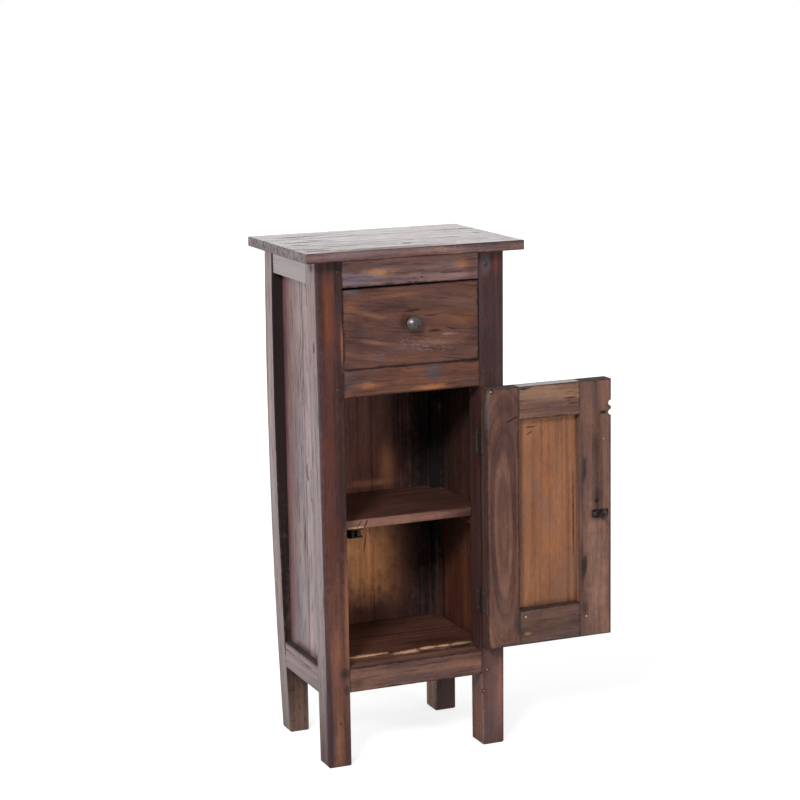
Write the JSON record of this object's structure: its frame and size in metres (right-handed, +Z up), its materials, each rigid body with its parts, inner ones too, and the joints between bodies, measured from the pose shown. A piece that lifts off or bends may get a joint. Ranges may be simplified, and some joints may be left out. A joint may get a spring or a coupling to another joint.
{
  "type": "telephone table",
  "caption": "Tall narrow cabinet table on four legs, with a drawer under the overhanging plank top and a cupboard with a shelf behind a framed, hinged door.",
  "frame": {"origin": "on the floor, midway between the four posts", "axes": "+Z up, -Y is the front with the drawer and the door, +X to the right as seen from the front"},
  "size_m": [0.502, 0.2733, 0.8],
  "materials": {
    "frame_wood": "dark walnut stain, satin wax",
    "top_wood": "dark walnut stain, worn satin wax",
    "panel_wood": "lighter brown stain, satin",
    "inside_wood": "thin brown stain, matt",
    "knob_metal": "dark pewter, worn",
    "black_iron": "black, worn",
    "steel": "dull steel"
  },
  "bodies": {
    "cabinet": {"back_board_left": "inside_wood", "back_board_right": "inside_wood", "catch_housing": "black_iron", "cupboard_floor": "frame_wood", "drawer_kicker_left": "inside_wood", "drawer_kicker_right": "inside_wood", "drawer_runner_left": "inside_wood", "drawer_runner_right": "inside_wood", "floor_cleat_left": "inside_wood", "floor_cleat_right": "inside_wood", "hinge_lower_post_leaf": "black_iron", "hinge_pins": "steel", "hinge_upper_post_leaf": "black_iron", "post_back_left": "frame_wood", "post_back_right": "frame_wood", "post_front_left": "frame_wood", "post_front_right": "frame_wood", "rail_back_bottom": "frame_wood", "rail_back_top": "frame_wood", "rail_front_bottom": "frame_wood", "rail_front_middle": "frame_wood", "rail_front_top": "frame_wood", "rail_left_bottom": "frame_wood", "rail_left_top": "frame_wood", "rail_right_bottom": "frame_wood", "rail_right_top": "frame_wood", "shelf": "frame_wood", "shelf_cleat_left": "inside_wood", "shelf_cleat_right": "inside_wood", "side_board_left_back": "frame_wood", "side_board_left_front": "frame_wood", "side_board_right_back": "frame_wood", "side_board_right_front": "frame_wood", "top_plank_back": "top_wood", "top_plank_front": "top_wood", "top_plank_middle": "top_wood"},
    "door": {"door_bottom_rail": "frame_wood", "door_hinge_stile": "frame_wood", "door_knob": "knob_metal", "door_knob_screw": "steel", "door_lock_stile": "frame_wood", "door_panel": "panel_wood", "door_top_rail": "frame_wood", "hinge_lower_door_leaf": "black_iron", "hinge_upper_door_leaf": "black_iron", "strike_spear": "black_iron"},
    "drawer": {"drawer_back": "inside_wood", "drawer_bottom": "inside_wood", "drawer_front": "frame_wood", "drawer_knob": "knob_metal", "drawer_knob_screw": "steel", "drawer_side_left": "inside_wood", "drawer_side_right": "inside_wood"},
    "catch_arm_left": {"catch_arm_left": "black_iron"},
    "catch_arm_right": {"catch_arm_right": "black_iron"},
    "catch_roller_left": {"catch_roller_left": "black_iron"},
    "catch_roller_right": {"catch_roller_right": "black_iron"}
  },
  "joints": [
    {"name": "door_hinge", "type": "hinge", "parent": "cabinet", "child": "door", "pos_m": [0.1105, -0.1128, 0.36], "axis": [0, 0, 1], "range_deg": [-180, 0]},
    {"name": "drawer_slide", "type": "slide", "parent": "cabinet", "child": "drawer", "axis": [0, -1, 0], "range_m": [0, 0.15]},
    {"name": "catch_left_swing", "type": "hinge", "parent": "cabinet", "child": "catch_arm_left", "pos_m": [-0.09, -0.0673, 0.358], "axis": [0, 0, -1], "range_deg": [0, 8], "stiffness_Nm_per_rad": 0.3},
    {"name": "catch_right_swing", "type": "hinge", "parent": "cabinet", "child": "catch_arm_right", "pos_m": [-0.08, -0.0673, 0.358], "axis": [0, 0, 1], "range_deg": [0, 8], "stiffness_Nm_per_rad": 0.3},
    {"name": "catch_left_roll", "type": "hinge", "parent": "catch_arm_left", "child": "catch_roller_left", "pos_m": [-0.09, -0.0803, 0.358], "axis": [0, 0, 1], "continuous": true},
    {"name": "catch_right_roll", "type": "hinge", "parent": "catch_arm_right", "child": "catch_roller_right", "pos_m": [-0.08, -0.0803, 0.358], "axis": [0, 0, 1], "continuous": true}
  ],
  "couplings": [
    {"joint": "catch_right_swing", "follows": "catch_left_swing", "ratio": 1}
  ]
}
